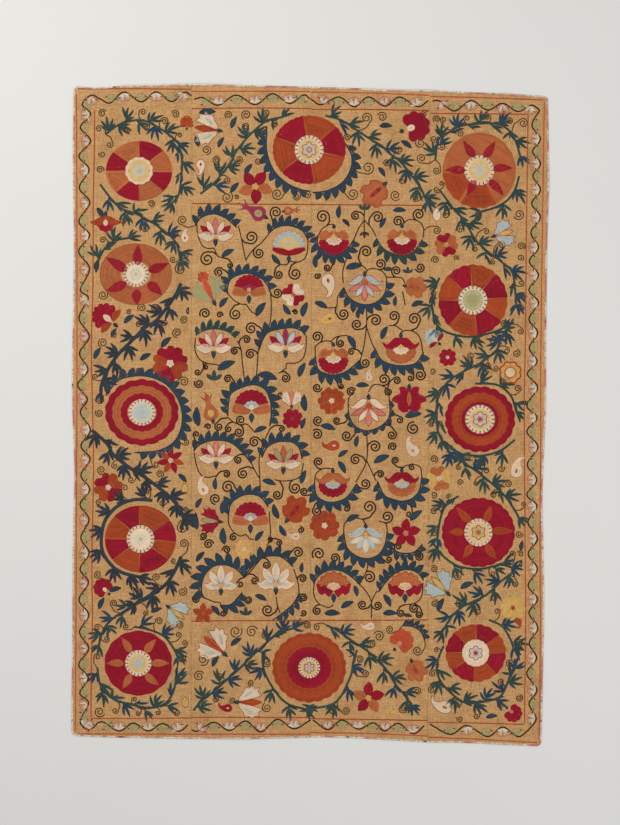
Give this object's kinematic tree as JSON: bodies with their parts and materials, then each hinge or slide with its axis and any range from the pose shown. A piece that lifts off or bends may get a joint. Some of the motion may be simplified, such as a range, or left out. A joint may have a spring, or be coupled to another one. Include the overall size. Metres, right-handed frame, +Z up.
{
  "type": "suzani embroidered textile",
  "caption": "Flat embroidered wall or bed cloth: hand-loomed cotton strips sewn side by side, covered in chain-stitched silk rosettes, flowers and vines, bound with a narrow braid.",
  "frame": {"origin": "centre of the cloth's underside, on the surface it lies on", "axes": "+X across the strips, to the right of the face; +Y along the strips, towards the top of the design; +Z up out of the embroidered face"},
  "size_m": [1.7382, 2.4099, 0.0051],
  "materials": {
    "ground_cotton": "hand-loomed cotton, matt",
    "edging_braid": "narrow woven silk and cotton braid, worn",
    "seam_thread": "cotton whip stitches",
    "silk_crimson": "chain-stitched silk, soft sheen",
    "silk_rust": "chain-stitched silk, soft sheen",
    "silk_apricot": "chain-stitched silk, soft sheen",
    "silk_vermilion": "chain-stitched silk, soft sheen",
    "silk_teal": "chain-stitched silk, soft sheen",
    "silk_indigo": "chain-stitched silk, soft sheen",
    "silk_umber": "chain-stitched silk, soft sheen",
    "silk_olive": "chain-stitched silk, soft sheen",
    "silk_ivory": "chain-stitched silk, soft sheen",
    "silk_sky": "chain-stitched silk, soft sheen",
    "silk_straw": "chain-stitched silk, soft sheen",
    "silk_sage": "chain-stitched silk, soft sheen",
    "silk_rose": "chain-stitched silk, soft sheen",
    "silk_plum": "chain-stitched silk, soft sheen"
  },
  "bodies": {
    "root": {"strip_outer_left": "ground_cotton", "strip_inner_left": "ground_cotton", "strip_inner_right": "ground_cotton", "strip_outer_right": "ground_cotton", "edging_left": "edging_braid", "edging_right": "edging_braid", "edging_top": "edging_braid", "edging_bottom": "edging_braid"}
  },
  "joints": []
}
